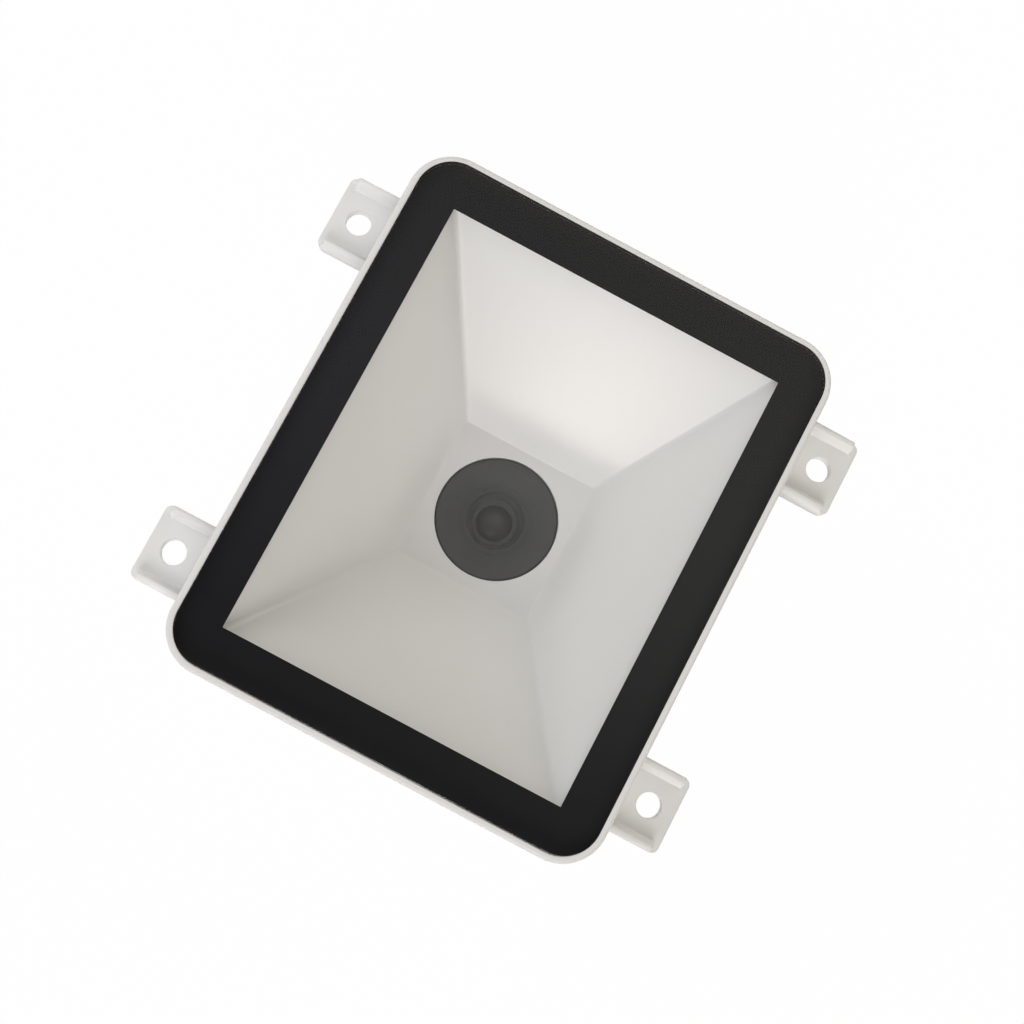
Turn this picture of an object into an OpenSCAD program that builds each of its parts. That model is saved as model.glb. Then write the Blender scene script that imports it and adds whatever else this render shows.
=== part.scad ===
// Fixed barcode reader for building into a machine front. A white moulded housing with four
// mounting ears carries a black-bordered window. Behind the window a white funnel-shaped hood
// spreads the light of an LED board round a dark lens well, and a screwed cover closes the back.
// The origin is the centre of the rear face, +Z points out of the window and +Y runs along the
// long side. Heights are a stack: each level is the level behind it plus one thickness.

/* [Window] */
// Width of the window glass, across the ears
glass_w = 62; // [58:0.5:66]
// Length of the window glass
glass_l = 76.2; // [72:0.1:82]
// Thickness of the window glass
glass_t = 2; // [1.4:0.1:3]
// Corner radius of the window glass
glass_r = 5.3; // [4.6:0.1:7]
// Round along the front edge of the window glass
glass_round = 0.15; // [0.1:0.05:0.4]
// Height of the glass above the lip of the housing
glass_proud = 0.8; // [0.4:0.1:1.2]
// Gap between the glass and the lip
glass_fit = 0.1; // [0.05:0.05:0.3]
// Width of the black printed border, measured from the edge of the glass
border_w = 6; // [5.4:0.1:6.6]
// Thickness of the printed border
print_t = 0.1; // [0.05:0.05:0.2]
// Margin of bare glass outside the printed border
print_margin = 0.05; // [0.02:0.01:0.2]
// Thickness of the adhesive tape under the border
tape_t = 0.4; // [0.2:0.1:0.8]
// Distance of the tape from the hood's mouth and from the edge of the glass
tape_margin = 0.5; // [0.3:0.1:0.8]

/* [Housing] */
// Thickness of the housing walls
wall_t = 2; // [1.6:0.1:2.4]
// Width of the lip round the glass
lip_w = 0.95; // [0.8:0.05:1.4]
// Round along the outer edge of the lip
lip_round = 0.5; // [0.3:0.1:0.7]
// Width of the ledge that carries the tape
tape_ledge_w = 2; // [1.6:0.1:2.2]
// Thickness of the ledge below the hood's flange
ledge_t = 2; // [1.5:0.1:3]
// Radius of the screw bosses for the rear cover
boss_r = 2.8; // [2.5:0.1:3.1]
// How far each boss bites into the corner wall
boss_bite = 0.5; // [0.3:0.1:0.8]

/* [Mounting ears] */
// Distance from the wall to the mounting hole
ear_reach = 4.7; // [4.4:0.05:8]
// Distance from the end of the body to the mounting hole
ear_inset = 12.8; // [12.5:0.05:20]
// Diameter of the mounting holes
ear_hole_d = 3.6; // [3:0.1:4.3]
// Width of each ear
ear_w = 11.2; // [10.4:0.1:12]
// Distance from the mounting hole to the tip of the ear
ear_tip = 3.8; // [3.4:0.1:5]
// Corner radius at the tip of the ear
ear_r = 1; // [0.5:0.1:1.5]
// Radius in the corners where the sides of the ear meet the wall
ear_fillet = 0.7; // [0.3:0.1:0.8]
// Thickness of the ear plate
ear_t = 1.8; // [1.6:0.1:3]
// Depth of the ear's front face below the front of the glass
ear_drop = 10.3; // [8:0.1:20]
// Thickness of the ribs along both sides of the ear
rib_t = 0.7; // [0.6:0.1:1.2]
// Height of the ribs at the wall
rib_h = 1.6; // [1.4:0.1:2.4]
// Height of the ribs at their outer end
rib_end_h = 1.2; // [1:0.1:1.4]
// Distance from the outer end of the ribs to the tip of the ear
rib_setback = 1.3; // [1:0.1:2]
// Radius in the corner between rib and plate
rib_fillet = 1; // [0.3:0.1:1]

/* [Light hood] */
// Distance of the hood's mouth outside the clear window, on the long sides
mouth_over_w = 0.5; // [0.2:0.1:0.8]
// Distance of the hood's mouth outside the clear window, on the short sides
mouth_over_l = 1.15; // [0.5:0.05:1.4]
// Corner radius of the hood at its mouth
mouth_r = 0.9; // [0.6:0.1:2]
// Depth from the hood's mouth to its floor
hood_depth = 19.5; // [17:0.5:24]
// Width of the hood's floor
floor_w = 21; // [20.5:0.1:22]
// Length of the hood's floor
floor_l = 21.4; // [20.5:0.1:23]
// Corner radius of the hood at its floor
floor_r = 0.5; // [0.4:0.1:1.2]
// Thickness of the hood's floor
floor_t = 1.5; // [1.2:0.1:2]
// Sideways part of the thickness of the hood's sloping walls
hood_side = 0.7; // [0.4:0.1:1]
// Thickness of the hood's flange
flange_t = 1.5; // [1.2:0.1:2]
// Gap between the hood and the housing
hood_fit = 0.25; // [0.1:0.05:0.4]
// Radius of the posts that carry the boards
post_r = 2.4; // [2:0.1:3]
// Distance of the posts from the middle, across the body
post_x = 17; // [15:0.5:18]
// Distance of the posts from the middle, along the body
post_y = 21; // [18:0.5:24]

/* [Lens well] */
// Radius of the dark disc seen in the hood's floor
well_r = 8.85; // [8.4:0.05:9.4]
// Gap round the well in the hood's floor
well_fit = 0.2; // [0.05:0.05:0.3]
// Depth of the well's rim below the hood's floor
well_recess = 0.5; // [0.1:0.1:0.8]
// Width of the rim at the front of the well
well_rim = 0.5; // [0.4:0.1:0.8]
// Radius where the shallow dish behind the rim ends
dish_r = 5.6; // [5.2:0.1:6.4]
// Depth of the shallow dish
dish_depth = 1; // [0.8:0.1:1.4]
// Radius at the foot of the steeper cone behind the dish
cone_r = 4.8; // [4.5:0.1:5.1]
// Depth of the steeper cone
cone_depth = 0.6; // [0.4:0.1:0.9]
// Width of the ledge behind the cone
step_w = 0.6; // [0.4:0.1:0.8]
// Sideways lean of the riser behind the ledge
step_lean = 0.8; // [0.5:0.1:1]
// Depth from the ledge to the bottom of the well
step_depth = 3.4; // [3:0.1:3.8]
// Radius of the opening at the bottom of the well
well_aperture = 2.7; // [2.4:0.1:2.9]
// Thickness of the bottom of the well
well_bottom = 0.6; // [0.4:0.1:0.8]
// Width of the flange that rests against the hood's floor
well_flange_w = 1.2; // [0.8:0.1:1.6]
// Thickness of that flange
well_flange_t = 1.2; // [0.8:0.1:1.6]
// Radius of the well's neck inside the LED board's hole
well_neck_r = 7.2; // [6.6:0.1:7.6]

/* [Camera] */
// Radius of the thread on the lens barrel
barrel_r = 4; // [3.8:0.1:4.4]
// Extra radius of the barrel's head
head_over = 1; // [0.6:0.1:1.4]
// Height of the barrel's head
head_t = 0.9; // [0.7:0.1:1.2]
// Clearance of the head below the well
head_gap = 0.2; // [0.1:0.1:0.4]
// Radius of the front lens
front_lens_r = 2.9; // [2.7:0.1:3.2]
// Edge thickness of the front lens
front_lens_edge = 0.7; // [0.5:0.1:0.8]
// Height of the front lens's dome
front_lens_dome = 0.7; // [0.4:0.1:0.7]
// Radius of the rear lens
rear_lens_r = 2.4; // [2.2:0.1:2.8]
// Thickness of the rear lens
rear_lens_t = 1.1; // [0.8:0.1:1.3]
// Radius of the light path inside the barrel
stop_r = 1.9; // [1.5:0.1:2]
// Length of the light path between the two lenses
stop_l = 1; // [0.6:0.1:1.2]
// Width of the lens holder's square base
holder_w = 13; // [12:0.5:15]
// Height of the lens holder's base
holder_h = 2.6; // [2.4:0.1:3]
// Wall of the lens holder
holder_wall = 1.6; // [1.2:0.1:2]
// Thickness of the shelf over the image sensor
shelf_t = 0.8; // [0.6:0.1:1]
// Width of the infrared filter
filter_w = 6.5; // [6:0.1:8]
// Thickness of the infrared filter
filter_t = 0.3; // [0.2:0.1:0.5]
// Width of the image sensor's package
sensor_w = 7.4; // [6:0.1:8.5]
// Thickness of the image sensor's package
sensor_t = 0.9; // [0.6:0.1:1]
// Width of the rim round the sensor's cover glass
sensor_rim = 0.7; // [0.4:0.1:1]

/* [Boards] */
// Thickness of both circuit boards
board_t = 1.6; // [1:0.1:2]
// Corner radius of both circuit boards
board_r = 2; // [1:0.5:3]
// Width of the LED board
led_board_w = 50; // [46:0.5:52]
// Length of the LED board
led_board_l = 62; // [58:0.5:66]
// Width of the main board
main_board_w = 46; // [44:0.5:52]
// Length of the main board
main_board_l = 58; // [56:0.5:64]
// Gap between the two boards, kept by the spacers
spacer_l = 8; // [7.8:0.1:9]
// Gap between the LED board and the hood's floor
led_gap = 3.5; // [3:0.1:4.2]
// Free space between the main board and the rear cover
rear_space = 5.6; // [5.4:0.1:9]
// Radius of the holes for the board screws
board_hole_r = 1.15; // [1.05:0.05:1.3]
// Gap between the well and the hole in the LED board
neck_fit = 0.3; // [0.2:0.1:0.5]

/* [Board parts] */
// Width of one LED
led_w = 3.5; // [3:0.1:5]
// Depth of one LED
led_d = 2.8; // [2.4:0.1:4]
// Height of an LED's case
led_t = 0.8; // [0.5:0.1:1.2]
// Radius of an LED's clear dome
led_dome_r = 1.1; // [0.8:0.05:1.2]
// Height of an LED's clear dome
led_dome_h = 0.7; // [0.3:0.1:0.8]
// Distance of the side LEDs from the middle
led_x = 21.5; // [16:0.5:22]
// Distance of the end LEDs from the middle
led_y = 27; // [24:0.5:28]
// Spacing of the LEDs along each side
led_pitch = 16; // [12:0.5:20]
// Width of the processor chip
processor_w = 10; // [8:0.5:12]
// Thickness of the chips
chip_t = 1.2; // [0.8:0.1:1.6]
// Radius of the dimple that marks the processor's first pin
dimple_r = 0.6; // [0.4:0.1:0.8]
// Depth of that dimple
dimple_depth = 0.15; // [0.1:0.05:0.3]
// Distance of that dimple from the chip's edges
dimple_edge = 1.2; // [1:0.1:2]
// Width of the memory chip
memory_w = 8; // [6:0.5:9]
// Depth of the memory chip
memory_d = 6; // [5:0.5:8]
// Length of the crystal's can
crystal_l = 5; // [4:0.2:7]
// Width of the crystal's can
crystal_w = 3.2; // [2.5:0.1:4]
// Height of the crystal's can
crystal_h = 1; // [0.8:0.1:2]
// Corner radius of the crystal's can
crystal_r = 0.8; // [0.4:0.1:1.2]
// Length of one capacitor
capacitor_l = 3.2; // [2:0.2:4]
// Width of one capacitor
capacitor_w = 1.6; // [1.2:0.1:2]
// Height of one capacitor
capacitor_h = 1.4; // [0.8:0.1:2]
// Number of capacitors in the row
capacitor_n = 4; // [2:1:4]
// Pitch of the capacitors in the row
capacitor_pitch = 3.2; // [2.4:0.1:3.6]
// Radius of the beeper
beeper_r = 4.5; // [4:0.1:5]
// Height of the beeper
beeper_h = 4; // [3:0.1:4.8]
// Radius of the beeper's sound hole
beeper_hole_r = 1; // [0.6:0.1:1.5]
// Distance of the beeper from the middle, along the board
beeper_y = 9.5; // [8:0.5:11]

/* [Plugs] */
// Number of pins in the cable socket
cable_pins = 6; // [4:1:8]
// Pitch of the pins in the cable socket
cable_pitch = 2; // [1.8:0.1:2.2]
// Width of the cable socket across its pins
cable_d = 6; // [5.6:0.1:7]
// Wall of the cable socket
cable_wall = 0.8; // [0.6:0.1:1]
// Free length past the end pins of the cable socket
cable_end = 1.6; // [1.2:0.1:2]
// Thickness of the cable socket's base
cable_base = 1.4; // [1:0.1:2]
// Depth of the cable socket's mouth below the rear face
cable_sink = 0.6; // [0.2:0.1:1]
// Thickness of the pins in the cable socket
cable_pin_t = 0.6; // [0.5:0.05:0.7]
// Height of the pins above the socket's base
cable_pin_l = 4; // [3:0.1:4.6]
// Number of pins that link the boards
link_pins_n = 4; // [2:1:6]
// Pitch of the pins that link the boards
link_pitch = 2.54; // [2:0.01:2.54]
// Depth of the board link's strips
link_d = 2.5; // [2.2:0.1:3]
// Height of the strip on the LED board
link_base = 2.5; // [2:0.1:3]
// Thickness of the link's pins
link_pin_t = 0.64; // [0.5:0.02:0.7]
// Clearance round each pin
pin_fit = 0.03; // [0.02:0.01:0.05]
// Distance of the board link from the end of the main board
link_edge = 4; // [3:0.5:6]

/* [Rear cover] */
// Thickness of the rear cover
cover_t = 2.2; // [2:0.1:3]
// Round along the rear edge of the cover
cover_round = 1; // [0.5:0.1:1.5]
// Height of the bars that centre the cover in the housing
bar_h = 2; // [1:0.1:3]
// Thickness of those bars
bar_t = 1.2; // [0.8:0.1:1.6]
// Gap between those bars and the walls
bar_fit = 0.15; // [0.1:0.05:0.3]
// Gap round the cable socket in the cover
socket_fit = 0.3; // [0.2:0.1:0.6]
// Radius of each sound hole
sound_hole_r = 0.6; // [0.4:0.05:0.7]
// Radius of the ring of sound holes
sound_ring_r = 2.4; // [2:0.1:3]
// Number of sound holes in the ring
sound_holes = 6; // [4:1:8]

/* [Screws] */
// Core radius of the cover screws
cover_screw_r = 1.05; // [0.9:0.05:1.2]
// Head radius of the cover screws
cover_head_r = 2.4; // [2.1:0.05:2.6]
// Length of thread that a cover screw has in its boss
cover_screw_l = 8; // [6:0.5:10]
// Depth of the cover screws' heads below the rear face
cover_head_sink = 0.15; // [0.05:0.05:0.3]
// Core radius of the board screws
board_screw_r = 0.8; // [0.7:0.05:0.9]
// Head radius of the board screws
board_head_r = 1.9; // [1.7:0.05:2.1]
// Head height of the board screws
board_head_t = 1.3; // [1:0.1:1.6]
// Length of thread that a board screw has in its post
board_screw_l = 6; // [4:0.5:7]
// Clearance between a screw and what it passes through or bites into
screw_fit = 0.03; // [0.02:0.01:0.05]
// Spare depth of a screw hole past the screw's tip
screw_spare = 1; // [0.5:0.1:1.5]
// Width of the cross recess in a screw's head
recess_w = 0.6; // [0.4:0.05:0.7]
// Depth of the cross recess in a screw's head
recess_depth = 0.7; // [0.5:0.05:0.8]
// Length of the cross recess as a share of the head's diameter
recess_share = 0.6; // [0.5:0.05:0.65]

/* [Hidden] */
$fn = 64;
cut = 1;
thin = 0.01;

// Levels from the rear face to the front of the glass
main_rear_z = cover_t + rear_space;
main_front_z = main_rear_z + board_t;
led_rear_z = main_front_z + spacer_l;
led_front_z = led_rear_z + board_t;
floor_rear_z = led_front_z + led_gap;
floor_z = floor_rear_z + floor_t;
mouth_z = floor_z + hood_depth;
print_z = mouth_z + tape_t;
glass_z = print_z + print_t;
top_z = glass_z + glass_t;
lip_z = top_z - glass_proud;
seat_z = mouth_z - flange_t;
ear_z = top_z - ear_drop;

// Plan sizes of the housing, from the glass outwards
body_w = glass_w + 2 * (glass_fit + lip_w);
body_l = glass_l + 2 * (glass_fit + lip_w);
body_r = glass_r + glass_fit + lip_w;
inner_w = body_w - 2 * wall_t;
inner_l = body_l - 2 * wall_t;
inner_r = body_r - wall_t;
ear_x = body_w / 2 + ear_reach;
ear_y = body_l / 2 - ear_inset;

// Plan sizes of the hood, from the clear window inwards
window_w = glass_w - 2 * border_w;
window_l = glass_l - 2 * border_w;
mouth_w = window_w + 2 * mouth_over_w;
mouth_l = window_l + 2 * mouth_over_l;
slope_w = (mouth_w - floor_w) / 2 / hood_depth;
slope_l = (mouth_l - floor_l) / 2 / hood_depth;
skin_w = floor_w + 2 * (hood_side + (seat_z - floor_rear_z) * slope_w);
skin_l = floor_l + 2 * (hood_side + (seat_z - floor_rear_z) * slope_l);
opening_w = skin_w + 2 * hood_fit;
opening_l = skin_l + 2 * hood_fit;
nest_w = glass_w + 2 * (glass_fit - tape_ledge_w);
nest_l = glass_l + 2 * (glass_fit - tape_ledge_w);
nest_r = max(body_r - lip_w - tape_ledge_w, 1);

// Places of the bosses and of the posts' ends
boss_offset = (inner_r - boss_r + boss_bite) / sqrt(2);
boss_x = inner_w / 2 - inner_r + boss_offset;
boss_y = inner_l / 2 - inner_r + boss_offset;
post_top_z = floor_z + max(
    (post_x + post_r - floor_w / 2) / slope_w,
    (post_y + post_r - floor_l / 2) / slope_l
);

// Levels of the lens well and of the camera below it
well_front_z = floor_z - well_recess;
dish_z = well_front_z - dish_depth;
ledge_z = dish_z - cone_depth;
well_bottom_z = ledge_z - step_depth;
well_foot_z = well_bottom_z - well_bottom;
head_z = well_foot_z - head_gap;
barrel_l = front_lens_edge + front_lens_dome + stop_l + rear_lens_t + screw_fit;
shelf_z = main_front_z + holder_h - shelf_t;
tube_top_z = head_z - head_t - head_gap;

// Sizes of the plugs
cable_l = (cable_pins - 1) * cable_pitch + 2 * (cable_end + cable_wall);
cable_y = -main_board_l / 2 + cable_d + 2 * board_r;
link_l = link_pins_n * link_pitch;
link_y = main_board_l / 2 - link_edge;
link_split_z = led_rear_z - link_base;

// Places of the parts on the main board's rear face
beeper_at = [post_x - beeper_r - board_r, beeper_y];
processor_at = [-processor_w, 0];
memory_at = [-processor_w, processor_w / 2 + memory_d];
crystal_at = [crystal_l / 2, -crystal_w];
capacitor_row_x = -processor_w / 2 + capacitor_l;

// Rectangle with true round corners
module outline(w, l, r) {
    square([w - 2 * r, l], center = true);
    square([w, l - 2 * r], center = true);
    for (x = [-1, 1], y = [-1, 1])
        translate([x * (w / 2 - r), y * (l / 2 - r)])
            circle(r);
}

module slab(w, l, r, z, t) {
    translate([0, 0, z])
        linear_extrude(t)
            outline(w, l, r);
}

// Carries a section round a rectangle with round corners. In the section, x points outwards
// from the rectangle's edge and y points to the front.
module around(w, l, r) {
    side = [l, w, l, w];
    span = [w, l, w, l];
    for (i = [0:3])
        rotate(90 * i) {
            translate([span[i] / 2, side[i] / 2 - r, 0])
                rotate([90, 0, 0])
                    linear_extrude(side[i] - 2 * r)
                        children();
            translate([span[i] / 2 - r, side[i] / 2 - r, 0])
                rotate_extrude(angle = 90)
                    translate([r, 0])
                        children();
        }
}

// What a round takes off an outer edge that lies at the section's origin
module edge_waste(round) {
    translate([-round, -round])
        difference() {
            square(round + cut);
            circle(round);
        }
}

module four(x, y) {
    for (sx = [-1, 1], sy = [-1, 1])
        translate([sx * x, sy * y, 0])
            children();
}

// Cross section of an ear: a plate with a rib along each side and round inner corners
module ear_section() {
    slot_w = ear_w - 2 * rib_t;
    difference() {
        translate([-ear_w / 2, -ear_t])
            square([ear_w, ear_t + rib_h]);
        translate([-slot_w / 2, rib_fillet])
            square([slot_w, rib_h + cut]);
        translate([-slot_w / 2 + rib_fillet, 0])
            square([slot_w - 2 * rib_fillet, rib_h + cut]);
        for (s = [-1, 1])
            translate([s * (slot_w / 2 - rib_fillet), rib_fillet])
                circle(rib_fillet);
    }
}

// Plan of the round corner between an ear's side and the wall, which meet at the origin
module ear_root() {
    difference() {
        translate([-wall_t / 2, -rib_t / 2])
            square([ear_fillet + wall_t / 2, ear_fillet + rib_t / 2]);
        translate([ear_fillet, ear_fillet])
            circle(ear_fillet);
    }
}

// One ear, drawn round its hole's axis with its front face at zero and its tip towards +X
module ear() {
    root = ear_reach + wall_t / 2;
    rib_end = ear_tip - rib_setback;
    difference() {
        union() {
            translate([-root, -ear_w / 2, -ear_t])
                cube([root + ear_tip - ear_r, ear_w, ear_t]);
            translate([0, -ear_w / 2 + ear_r, -ear_t])
                cube([ear_tip, ear_w - 2 * ear_r, ear_t]);
            for (s = [-1, 1])
                translate([ear_tip - ear_r, s * (ear_w / 2 - ear_r), -ear_t])
                    cylinder(h = ear_t, r = ear_r);
            translate([-root, 0, 0])
                rotate([90, 0, 90])
                    linear_extrude(root + rib_end)
                        ear_section();
            for (s = [0, 1])
                mirror([0, s, 0])
                    translate([-ear_reach, ear_w / 2, -ear_t])
                        linear_extrude(ear_t + rib_h)
                            ear_root();
        }
        translate([0, 0, -ear_t - cut])
            cylinder(h = ear_t + 2 * cut, d = ear_hole_d);
        rotate([90, 0, 0])
            linear_extrude(ear_w + 4 * cut, center = true)
                polygon([
                    [-ear_reach, rib_h],
                    [rib_end + cut, rib_end_h - cut * (rib_h - rib_end_h) / (ear_reach + rib_end)],
                    [rib_end + cut, rib_h + cut],
                    [-ear_reach, rib_h + cut]
                ]);
    }
}

// White moulded shell: walls, lip, two ledges, four ears and four screw bosses
module front_housing() {
    color("whitesmoke")
        difference() {
            union() {
                difference() {
                    slab(body_w, body_l, body_r, cover_t, lip_z - cover_t);
                    slab(inner_w, inner_l, inner_r, cover_t - cut, seat_z - ledge_t - cover_t + cut);
                }
                intersection() {
                    four(boss_x, boss_y)
                        translate([0, 0, cover_t])
                            cylinder(h = seat_z - ledge_t - cover_t + ledge_t / 2, r = boss_r);
                    slab(body_w - wall_t, body_l - wall_t, body_r - wall_t / 2, cover_t, lip_z);
                }
                for (side = [0, 180])
                    rotate(side)
                        for (y = [-ear_y, ear_y])
                            translate([ear_x, y, ear_z])
                                ear();
            }
            slab(opening_w, opening_l, mouth_r, seat_z - ledge_t - cut, ledge_t + 2 * cut);
            slab(nest_w, nest_l, nest_r, seat_z, lip_z);
            slab(glass_w + 2 * glass_fit, glass_l + 2 * glass_fit, glass_r + glass_fit, mouth_z, lip_z);
            translate([0, 0, lip_z])
                around(body_w, body_l, body_r)
                    edge_waste(lip_round);
            four(boss_x, boss_y)
                translate([0, 0, cover_t - cut])
                    cylinder(h = cover_screw_l + screw_spare + cut, r = cover_screw_r + screw_fit);
        }
}

// Clear flat glass with rounded corners and a softened front edge
module window_glass() {
    color("lightblue", 0.4)
        difference() {
            slab(glass_w, glass_l, glass_r, glass_z, glass_t);
            translate([0, 0, top_z])
                around(glass_w, glass_l, glass_r)
                    edge_waste(glass_round);
        }
}

// Black border printed on the back of the glass
module window_print() {
    color("black")
        difference() {
            slab(
                glass_w - 2 * print_margin, glass_l - 2 * print_margin, glass_r - print_margin,
                print_z, print_t
            );
            translate([-window_w / 2, -window_l / 2, print_z - cut])
                cube([window_w, window_l, print_t + 2 * cut]);
        }
}

// Adhesive ring between the print and both the housing's ledge and the hood's flange
module window_tape() {
    color("dimgray")
        difference() {
            slab(
                glass_w - 2 * tape_margin, glass_l - 2 * tape_margin, glass_r - tape_margin,
                mouth_z, tape_t
            );
            slab(
                mouth_w + 2 * tape_margin, mouth_l + 2 * tape_margin, mouth_r,
                mouth_z - cut, tape_t + 2 * cut
            );
        }
}

// Funnel between two rectangles with round corners
module funnel(w0, l0, r0, z0, w1, l1, r1, z1) {
    hull() {
        slab(w0, l0, r0, z0, thin, $fn = 32);
        slab(w1, l1, r1, z1, thin, $fn = 32);
    }
}

// White translucent funnel with a flange at its mouth, a round hole in its floor and four posts
module diffuser_hood() {
    color("white")
        difference() {
            union() {
                funnel(
                    floor_w + 2 * hood_side, floor_l + 2 * hood_side, floor_r + hood_side, floor_rear_z,
                    skin_w, skin_l, mouth_r + hood_side, seat_z
                );
                slab(nest_w - 2 * hood_fit, nest_l - 2 * hood_fit, nest_r, seat_z, flange_t);
                four(post_x, post_y)
                    translate([0, 0, led_front_z])
                        cylinder(h = post_top_z - led_front_z, r = post_r);
            }
            funnel(
                floor_w, floor_l, floor_r, floor_z,
                mouth_w + 2 * cut * slope_w, mouth_l + 2 * cut * slope_l, mouth_r, mouth_z + cut
            );
            translate([0, 0, floor_rear_z - cut])
                cylinder(h = floor_t + 2 * cut, r = well_r + well_fit);
            four(post_x, post_y)
                translate([0, 0, led_front_z - cut])
                    cylinder(h = board_screw_l + screw_spare + cut, r = board_screw_r + screw_fit);
        }
}

// Dark well round the lens: a rim, a shallow dish, a steeper cone, a ledge and the opening for
// the lens. Its flange and skirt are clamped between the hood's floor and the LED board, and
// its neck stands in the board's hole.
module lens_baffle() {
    color("#303030")
        rotate_extrude()
            polygon([
                [well_aperture, well_foot_z],
                [well_aperture, well_bottom_z],
                [cone_r - step_w - step_lean, well_bottom_z],
                [cone_r - step_w, ledge_z],
                [cone_r, ledge_z],
                [dish_r, dish_z],
                [well_r - well_rim, well_front_z],
                [well_r, well_front_z],
                [well_r, floor_rear_z],
                [well_r + well_flange_w, floor_rear_z],
                [well_r + well_flange_w, floor_rear_z - well_flange_t],
                [well_r, floor_rear_z - well_flange_t],
                [well_r, led_front_z],
                [well_neck_r, led_front_z],
                [well_neck_r, well_foot_z]
            ]);
}

// Black turned barrel with a head, a seat for each lens and a light stop between them
module lens_barrel() {
    front_seat_z = head_z - front_lens_edge - front_lens_dome;
    rear_seat_z = front_seat_z - stop_l;
    color("#1c1c1c")
        difference() {
            union() {
                translate([0, 0, head_z - barrel_l])
                    cylinder(h = barrel_l, r = barrel_r);
                translate([0, 0, head_z - head_t])
                    cylinder(h = head_t, r = barrel_r + head_over);
            }
            translate([0, 0, front_seat_z])
                cylinder(h = barrel_l, r = front_lens_r + screw_fit);
            translate([0, 0, rear_seat_z - cut])
                cylinder(h = stop_l + 2 * cut, r = stop_r);
            translate([0, 0, rear_seat_z - barrel_l])
                cylinder(h = barrel_l, r = rear_lens_r + screw_fit);
        }
}

// Lens with a flat back, a straight edge and a domed front
module domed_lens(r, edge, dome) {
    ball_r = (r * r + dome * dome) / (2 * dome);
    intersection() {
        cylinder(h = edge + dome, r = r);
        translate([0, 0, edge + dome - ball_r])
            sphere(ball_r, $fn = 128);
    }
}

module front_lens() {
    color("steelblue", 0.6)
        translate([0, 0, head_z - front_lens_edge - front_lens_dome])
            domed_lens(front_lens_r, front_lens_edge, front_lens_dome);
}

module rear_lens() {
    color("steelblue", 0.6)
        translate([0, 0, head_z - front_lens_edge - front_lens_dome - stop_l - rear_lens_t])
            cylinder(h = rear_lens_t, r = rear_lens_r);
}

// Black moulded mount for the barrel: a square box over the sensor with a threaded tube on it
module lens_holder() {
    color("#262626")
        difference() {
            union() {
                translate([-holder_w / 2, -holder_w / 2, main_front_z])
                    cube([holder_w, holder_w, holder_h]);
                translate([0, 0, main_front_z])
                    cylinder(h = tube_top_z - main_front_z, r = barrel_r + holder_wall);
            }
            translate([-holder_w / 2 + holder_wall, -holder_w / 2 + holder_wall, main_front_z - cut])
                cube([holder_w - 2 * holder_wall, holder_w - 2 * holder_wall, holder_h - shelf_t + cut]);
            translate([0, 0, shelf_z - cut])
                cylinder(h = holder_h, r = rear_lens_r);
            translate([0, 0, main_front_z + holder_h])
                cylinder(h = spacer_l, r = barrel_r + screw_fit);
        }
}

// Thin coated glass under the holder's shelf
module ir_filter() {
    color("lightsteelblue", 0.5)
        translate([-filter_w / 2, -filter_w / 2, shelf_z - filter_t])
            cube([filter_w, filter_w, filter_t]);
}

// Sensor package with a sunk cover glass
module image_sensor() {
    window = sensor_w - 2 * sensor_rim;
    color("darkslategray")
        translate([0, 0, main_front_z])
            difference() {
                translate([-sensor_w / 2, -sensor_w / 2, 0])
                    cube([sensor_w, sensor_w, sensor_t]);
                translate([-window / 2, -window / 2, sensor_t / 2])
                    cube([window, window, sensor_t]);
            }
}

// Circuit board with round corners and a hole at each post
module board(w, l, z) {
    difference() {
        slab(w, l, board_r, z, board_t);
        four(post_x, post_y)
            translate([0, 0, z - cut])
                cylinder(h = board_t + 2 * cut, r = board_hole_r);
    }
}

module main_board() {
    color("darkgreen")
        board(main_board_w, main_board_l, main_rear_z);
}

module led_board() {
    color("white")
        difference() {
            board(led_board_w, led_board_l, led_rear_z);
            translate([0, 0, led_rear_z - cut])
                cylinder(h = board_t + 2 * cut, r = well_neck_r + neck_fit);
        }
}

// Places a part on the main board's rear face, growing towards the cover
module on_rear(at, size) {
    translate([at[0] - size[0] / 2, at[1] - size[1] / 2, main_rear_z - size[2]])
        cube(size);
}

// Decoder chip with a dimple that marks its first pin
module processor_chip() {
    dimple = processor_w / 2 - dimple_edge;
    color("#202020")
        difference() {
            on_rear(processor_at, [processor_w, processor_w, chip_t]);
            translate([processor_at[0] - dimple, processor_at[1] - dimple, main_rear_z - chip_t - cut])
                cylinder(h = cut + dimple_depth, r = dimple_r);
        }
}

module memory_chip() {
    color("#242424")
        on_rear(memory_at, [memory_w, memory_d, chip_t]);
}

// Crystal in a drawn metal can
module crystal() {
    color("silver")
        translate([crystal_at[0], crystal_at[1], 0])
            slab(crystal_l, crystal_w, crystal_r, main_rear_z - crystal_h, crystal_h);
}

// A row of chip capacitors beside the processor
module capacitors() {
    color("tan")
        for (i = [1:capacitor_n])
            on_rear(
                [capacitor_row_x, processor_at[1] + i * capacitor_pitch],
                [capacitor_l, capacitor_w, capacitor_h]
            );
}

// Round magnetic beeper with its sound hole towards the cover
module beeper() {
    color("#1a1a1a")
        translate([beeper_at[0], beeper_at[1], main_rear_z - beeper_h])
            difference() {
                cylinder(h = beeper_h, r = beeper_r);
                translate([0, 0, -cut])
                    cylinder(h = cut + beeper_h / 2, r = beeper_hole_r);
            }
}

// Places its children at each pin of a row
module pin_row(count, pitch) {
    for (i = [0:count - 1])
        translate([(i - (count - 1) / 2) * pitch, 0, 0])
            children();
}

module pin_bar(t, z0, z1) {
    translate([-t / 2, -t / 2, z0])
        cube([t, t, z1 - z0]);
}

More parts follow.
